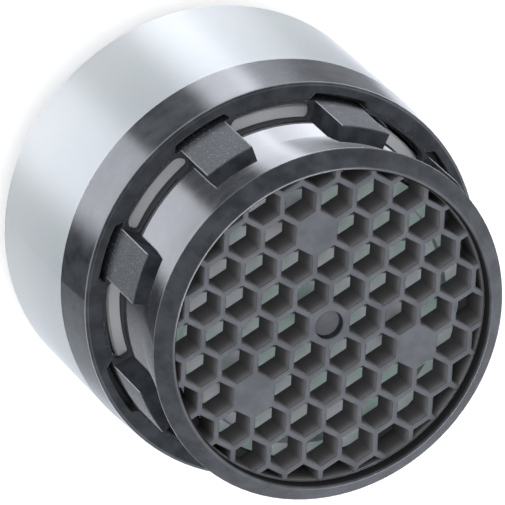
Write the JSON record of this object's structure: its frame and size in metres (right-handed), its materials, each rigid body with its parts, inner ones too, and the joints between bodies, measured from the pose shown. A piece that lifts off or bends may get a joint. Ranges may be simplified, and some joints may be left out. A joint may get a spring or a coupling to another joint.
{
  "type": "tap aerator",
  "caption": "Tap aerator cartridge with a pale inlet housing, a dark band with key lugs and air windows, and a honeycomb outlet.",
  "frame": {"origin": "centre of the washer's flat face, where the cartridge stands on its inlet end", "axes": "+Z along the axis towards the outlet; X along a row of honeycomb cells"},
  "size_m": [0.0216, 0.0216, 0.0188],
  "materials": {
    "outlet_plastic": "glossy dark grey moulding, grained on the lugs",
    "inlet_plastic": "satin silver-white, slightly translucent",
    "grid_plastic": "satin natural plastic",
    "splitter_plastic": "satin natural plastic",
    "regulator_plastic": "satin",
    "ring_rubber": "matt",
    "filter_plastic": "satin",
    "washer_rubber": "matt"
  },
  "bodies": {
    "root": {"outlet_housing": "outlet_plastic", "inlet_housing": "inlet_plastic", "mixing_grid_front": "grid_plastic", "mixing_grid_rear": "grid_plastic", "jet_splitter": "splitter_plastic", "regulator_body": "regulator_plastic", "regulator_ring": "ring_rubber", "inlet_filter": "filter_plastic", "inlet_washer": "washer_rubber"}
  },
  "joints": []
}
